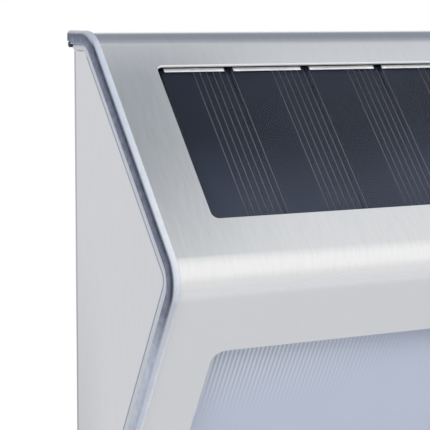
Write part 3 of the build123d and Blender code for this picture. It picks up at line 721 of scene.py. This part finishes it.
# %% Finish the lens
frosted = Finish("frosted_lens_finish", IOR=1.4)
lens_low, lens_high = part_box("diffuser_lens")
lens_width = (lens_high.x - lens_low.x) / MM
rib_pitch = lens_width / round(lens_width / 0.86)
sideways = frosted.along("X")
height = frosted.along("Z")
wave = frosted.add("Math", {"operation": "SINE"}, sideways * (2 * pi / rib_pitch))
stripe = wave.ramp(-0.9, 0.9)
clearness = (1 - sideways.ramp(-36, 12)) * height.ramp(-22, -4)
haze = frosted.grain(60, 60, 60)
calm = frosted.mix(haze, (0.68, 0.735, 0.885), (0.72, 0.775, 0.925))
# Painted light and shade of the ribs: pale and dark stripes.
ribbed = frosted.mix(stripe, (0.53, 0.59, 0.78), (0.92, 0.97, 1.0))
# Painted shade from the steel's edge on the lens's upper part.
top_shade = height.ramp(-13, -5) * sideways.ramp(-25, 15)
lit = frosted.mix(top_shade * 0.3, calm, (0.42, 0.46, 0.60))
frosted.set(Base_Color=frosted.mix(clearness, lit, ribbed))
frosted.set(Roughness=0.42 + haze * 0.12)
frosted.relief(stripe * clearness, 0.03)
coat(frosted, "diffuser_lens")

# %% [markdown]
# Behind the lens a white tray throws the diodes' light forwards. The diodes are
# clear water-white domes with a faint yellow core, and their board is white.

# %% Finish the tray, the diodes and their board
tray = Finish("white_reflector_finish")
skin = tray.grain(1200, 1200, 1200)
tray.set(Base_Color=tray.mix(skin, (0.80, 0.80, 0.79), (0.88, 0.88, 0.87)))
tray.set(Roughness=0.25 + skin * 0.15)
tray.relief(skin, 0.01)
dress("reflector", tray, edge=0.15)

diode = Finish("diode_lens_finish", Transmission_Weight=0.8, IOR=1.5)
glow = diode.grain(500, 500, 500)
diode.set(Base_Color=diode.mix(glow, (0.9, 0.86, 0.62), (0.95, 0.94, 0.88)))
diode.set(Roughness=0.06 + glow * 0.05)
for side in ("left", "right"):
    dress("led_" + side, diode, edge=0.2, steps=4)

masked = Finish("white_board_finish")
speckle = masked.grain(2600, 2600, 2600)
masked.set(Base_Color=masked.mix(speckle, (0.70, 0.71, 0.70), (0.80, 0.81, 0.80)))
masked.set(Roughness=0.3 + speckle * 0.2)
dress("led_board", masked, edge=0.1)

# %% [markdown]
# ## Tub and back
#
# The tub that everything is built on is white and moulded, and the back is
# black, with the fine spark-eroded texture that hides sink marks. Its texture
# is a fine noise in the relief, and the high spots, which hands and walls have
# polished, are a little smoother and paler.


# %% Make the moulded finishes
def moulded(name, low, high, rough, texture, depth):
    """Textured moulding: colours of its low and high spots, and grains to a metre."""
    plastic = Finish(name, IOR=1.5)
    fine = plastic.grain(texture, texture, texture, detail=3.0, roughness=0.6)
    broad = plastic.grain(70, 70, 70)
    plastic.set(Base_Color=plastic.mix(fine * 0.6 + broad * 0.4, low, high))
    plastic.set(Roughness=rough + 0.08 - fine * 0.16 + broad * 0.06)
    plastic.relief(fine, depth)
    return plastic


white_tub = moulded("white_moulding_finish", (0.62, 0.63, 0.63), (0.72, 0.73, 0.73),
                    rough=0.4, texture=1500, depth=0.01)
black_back = moulded("black_moulding_finish", (0.009, 0.009, 0.010), (0.030, 0.030, 0.032),
                     rough=0.46, texture=3200, depth=0.03)
dress("housing_tub", white_tub, edge=0.15)
dress("rear_cover", black_back, edge=0.18)
dress("battery_door", black_back, edge=0.2, body="door")

foam = Finish("foam_finish")
pores = foam.grain(3500, 3500, 3500, detail=4.0, roughness=0.7)
foam.set(Base_Color=foam.mix(pores.ramp(0.35, 0.65), (0.01, 0.01, 0.01), (0.06, 0.06, 0.062)))
foam.set(Roughness=0.8 + pores * 0.15)
foam.relief(pores, 0.12)
coat(foam, "panel_tape", "rear_gasket", "door_gasket")

# %% [markdown]
# ## Screws
#
# The screws are plated steel with a turned face. Rings round each screw's own
# axis would need its centre, so noise stretched in both directions across the
# face stands for the plating's fine marks.

# %% Finish the screws
plated = Finish("screw_steel_finish", Metallic=1.0)
turned = plated.grain(3000, 400, 900, detail=3.0)
plated.set(Base_Color=plated.mix(turned, (0.42, 0.42, 0.43), (0.66, 0.66, 0.67)))
plated.set(Roughness=0.22 + turned * 0.22)
plated.relief(turned, 0.01)
dress("rear_screws", plated, edge=0.12)
dress("door_screws", plated, edge=0.1, body="door")
dress("board_screws", plated, edge=0.1)

# %% [markdown]
# ## Battery and contacts
#
# A rechargeable cell in a plain green shrink sleeve, with bare steel at both
# ends, is held between a flat contact and a bowed leaf of nickel-plated strip.

# %% Finish the cell and its contacts
sleeve = Finish("battery_sleeve_finish", Coat_Weight=0.4, Coat_Roughness=0.1)
shrink = sleeve.grain(120, 1400, 1400)
sideways = sleeve.along("X")
bare = sideways.ramp(22.85, 22.95) + (1 - sideways.ramp(-23.2, -23.1))
green = sleeve.mix(shrink, seen(38, 96, 74), seen(52, 118, 92))
can = sleeve.mix(shrink, (0.45, 0.45, 0.46), (0.6, 0.6, 0.61))
sleeve.set(Base_Color=sleeve.mix(bare, green, can))
sleeve.set(Metallic=bare.ramp(0.0, 1.0), Roughness=0.28 + shrink * 0.14)
sleeve.relief(shrink, 0.015)
dress("battery_cell", sleeve, edge=0.15)

nickel = Finish("contact_metal_finish", Metallic=1.0)
drawn = nickel.grain(2000, 300, 2000)
nickel.set(Base_Color=nickel.mix(drawn, (0.52, 0.50, 0.47), (0.70, 0.68, 0.64)))
nickel.set(Roughness=0.2 + drawn * 0.2)
nickel.relief(drawn, 0.008)
dress("contact_plate", nickel, edge=0.06)
dress("contact_spring", nickel, edge=0.06)

# %% [markdown]
# ## Control board, switch and leads
#
# The board keeps its plain solid. Its chip is matt moulding compound, the coil
# is sintered ferrite with a coarse grain, and the switch is a small case with a
# slider. The leads are smooth soft insulation.

# %% Finish the electrical parts
chip = moulded("chip_black_finish", (0.012, 0.012, 0.013), (0.03, 0.03, 0.031), 0.55, 5000, 0.01)
ferrite = moulded("ferrite_finish", (0.02, 0.02, 0.02), (0.07, 0.068, 0.065), 0.6, 2500, 0.05)
case = moulded("switch_case_finish", (0.05, 0.05, 0.052), (0.09, 0.09, 0.092), 0.4, 2500, 0.01)
knob = moulded("switch_knob_finish", (0.015, 0.015, 0.016), (0.04, 0.04, 0.042), 0.38, 3000, 0.015)
dress("controller_chip", chip, edge=0.06)
dress("inductor", ferrite, edge=0.15)
dress("switch_body", case, edge=0.08)
dress("switch_knob", knob, edge=0.12, body="switch")
for colour, low, high in (
    ("red", (0.30, 0.012, 0.010), (0.42, 0.022, 0.018)),
    ("black", (0.010, 0.010, 0.011), (0.025, 0.025, 0.026)),
):
    jacket = moulded(colour + "_lead_finish", low, high, 0.34, 1800, 0.01)
    for lead in ("solar", "battery", "diode"):
        dress(lead + "_lead_" + colour, jacket, edge=0.1)

# %% [markdown]
# ## Floor
#
# The floor is a wide, pale, round board. It has its own grey and the light's
# shadow near the light, and turns into the white of the background further out,
# so that no horizon crosses the picture.

# %% Make the floor
floor_radius = 3.0
low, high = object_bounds()
plate = bmesh.new()
bmesh.ops.create_circle(plate, cap_ends=True, segments=96, radius=floor_radius)
bmesh.ops.translate(plate, verts=plate.verts, vec=(0, 0, low[2] - 0.02 * MM))
floor_mesh = bpy.data.meshes.new("floor")
plate.to_mesh(floor_mesh)
plate.free()
floor = bpy.data.objects.new("floor", floor_mesh)
bpy.context.scene.collection.objects.link(floor)
floor.visible_glossy = False

board = Finish("floor_finish", Specular_IOR_Level=0.2)
paper = board.grain(900, 900, 900)
board.set(Base_Color=board.mix(paper, (0.50, 0.51, 0.52), (0.56, 0.57, 0.58)))
board.set(Roughness=0.7 + paper * 0.2)
grey_middle = (0, -0.06, 0)
to_unit_circle = (5.0, 7.1, 0)
offset = board.add("VectorMath", {"operation": "SUBTRACT"}, board.place(), grey_middle)
squeezed = board.add("VectorMath", {"operation": "MULTIPLY"}, offset, to_unit_circle)
away = board.add("VectorMath", {"operation": "LENGTH"}, squeezed, out="Value")
white = board.add("Emission", None, (1, 1, 1), 1.0)
plain = Wire(board, board.shader.outputs[0])
whitened = board.background() * away.ramp(0.7, 1.0)
board.end_with(board.add("MixShader", None, whitened, plain, white))
floor.data.materials.append(board.material)
print("floor at", round(low[2] / MM, 2), "mm")

# %% [markdown]
# ## Light tent
#
# Steel shows what stands around it. The studio has a tent: bright in front and
# to the right, where the knee looks, dimmer overhead, and dark behind on the
# right, where the top bend looks. It is a dome that only reflections see, so
# its pattern is on the metal and the gloss and not on matt pieces.
#
# The dial lists its brightness by how far up a direction turns from straight
# ahead, in degrees: 90 is overhead, and beyond that it is behind the light. The
# left side is plain white, and beside it, high up, hangs a shade.

# %% Make the tent
tent_radius = 0.3
dome = bmesh.new()
bmesh.ops.create_uvsphere(dome, u_segments=48, v_segments=24, radius=tent_radius)
tent_mesh = bpy.data.meshes.new("light_tent")
dome.to_mesh(tent_mesh)
dome.free()
tent = bpy.data.objects.new("light_tent", tent_mesh)
bpy.context.scene.collection.objects.link(tent)
for sense in ("camera", "diffuse", "transmission", "volume_scatter", "shadow"):
    setattr(tent, "visible_" + sense, False)
cloth = Finish("light_tent_finish")
towards = cloth.add("VectorMath", {"operation": "NORMALIZE"}, cloth.place())
across, inwards, up = (cloth.add("SeparateXYZ", None, towards, out=axis) for axis in "XYZ")
turn_up = cloth.add("Math", {"operation": "ARCTAN2"}, up, 0 - inwards)
brightest = 1.4
degrees_and_colours = (
    (-180, (1.00, 1.00, 1.00)),
    (-100, (1.20, 1.21, 1.23)),
    (-80, (0.93, 0.96, 1.00)),
    (-74, (0.70, 0.73, 0.78)),
    (-68, (0.43, 0.46, 0.52)),
    (-62, (0.26, 0.29, 0.35)),
    (-52, (0.30, 0.32, 0.38)),
    (-20, (1.01, 1.00, 1.00)),
    (12, (1.40, 1.38, 1.35)),
    (38, (1.40, 1.38, 1.35)),
    (72, (1.02, 1.03, 1.05)),
    (82, (0.94, 0.95, 0.98)),
    (90, (0.80, 0.82, 0.86)),
    (100, (0.40, 0.43, 0.49)),
    (130, (0.36, 0.39, 0.46)),
    (140, (0.45, 0.48, 0.54)),
    (150, (1.00, 1.00, 1.00)),
    (172, (1.35, 1.35, 1.35)),
)
stops = [(angle / 360 + 0.5, [part / brightest for part in colour])
         for angle, colour in degrees_and_colours]
dial = cloth.add("ValToRGB", {"stops": stops}, turn_up * (0.5 / pi) + 0.5)
overhead = turn_up.near(radians(73), radians(16))
shade = cloth.mix(overhead * (1 - across.ramp(0.26, 0.42)) * 0.62, (1, 1, 1), (0, 0.05, 0.09))
right_side = cloth.add("VectorMath", {"operation": "MULTIPLY"}, dial, shade)
left_side = [part / brightest for part in (1.0, 0.99, 1.02)]
all_round = cloth.mix(across.ramp(-0.05, 0.2), left_side, right_side)
cloth.end_with(cloth.add("Emission", None, all_round, brightest))
tent.data.materials.append(cloth.material)
print("tent with", len(stops), "stops")

# %% [markdown]
# ## Lamps and background
#
# Three large soft lamps light the matt pieces at a plain level, one from the
# upper right, one from the left and one from behind. Metal and gloss look at
# the tent, so the lamps hide from reflections. The world is white to the
# camera, to gloss and to clear pieces, and dimmer as a light.


# %% Place the lamps and the world
lit_point = Vector((0, -0.02, 0))


def soft_lamp(name, place, size, power):
    """A rectangular lamp that faces the light, its place and size in metres."""
    lamp = bpy.data.objects.new(name, bpy.data.lights.new(name, "AREA"))
    lamp.data.shape = "RECTANGLE"
    lamp.data.size, lamp.data.size_y = size
    lamp.data.energy = power
    lamp.location = place
    lamp.rotation_euler = (lit_point - lamp.location).to_track_quat("-Z", "Y").to_euler()
    lamp.visible_glossy = False
    bpy.context.scene.collection.objects.link(lamp)
    print(name, power, "W")


soft_lamp("lamp_right", place=(0.55, -0.65, 0.60), size=(0.5, 0.5), power=6.0)
soft_lamp("lamp_left", place=(-0.75, -0.35, 0.35), size=(0.5, 0.5), power=3.0)
soft_lamp("lamp_back", place=(0.10, 0.80, 0.35), size=(0.6, 0.4), power=3.0)
world = bpy.data.worlds.new("studio")
bpy.context.scene.world = world
world.use_nodes = True
air = Nodes(world.node_tree)
sky = air.tree.nodes["Background"]
air.fill(sky.inputs["Color"], (1, 1, 1))
air.fill(sky.inputs["Strength"], air.background() * 0.45 + 0.55)

bpy.context.scene.view_settings.view_transform = "Standard"
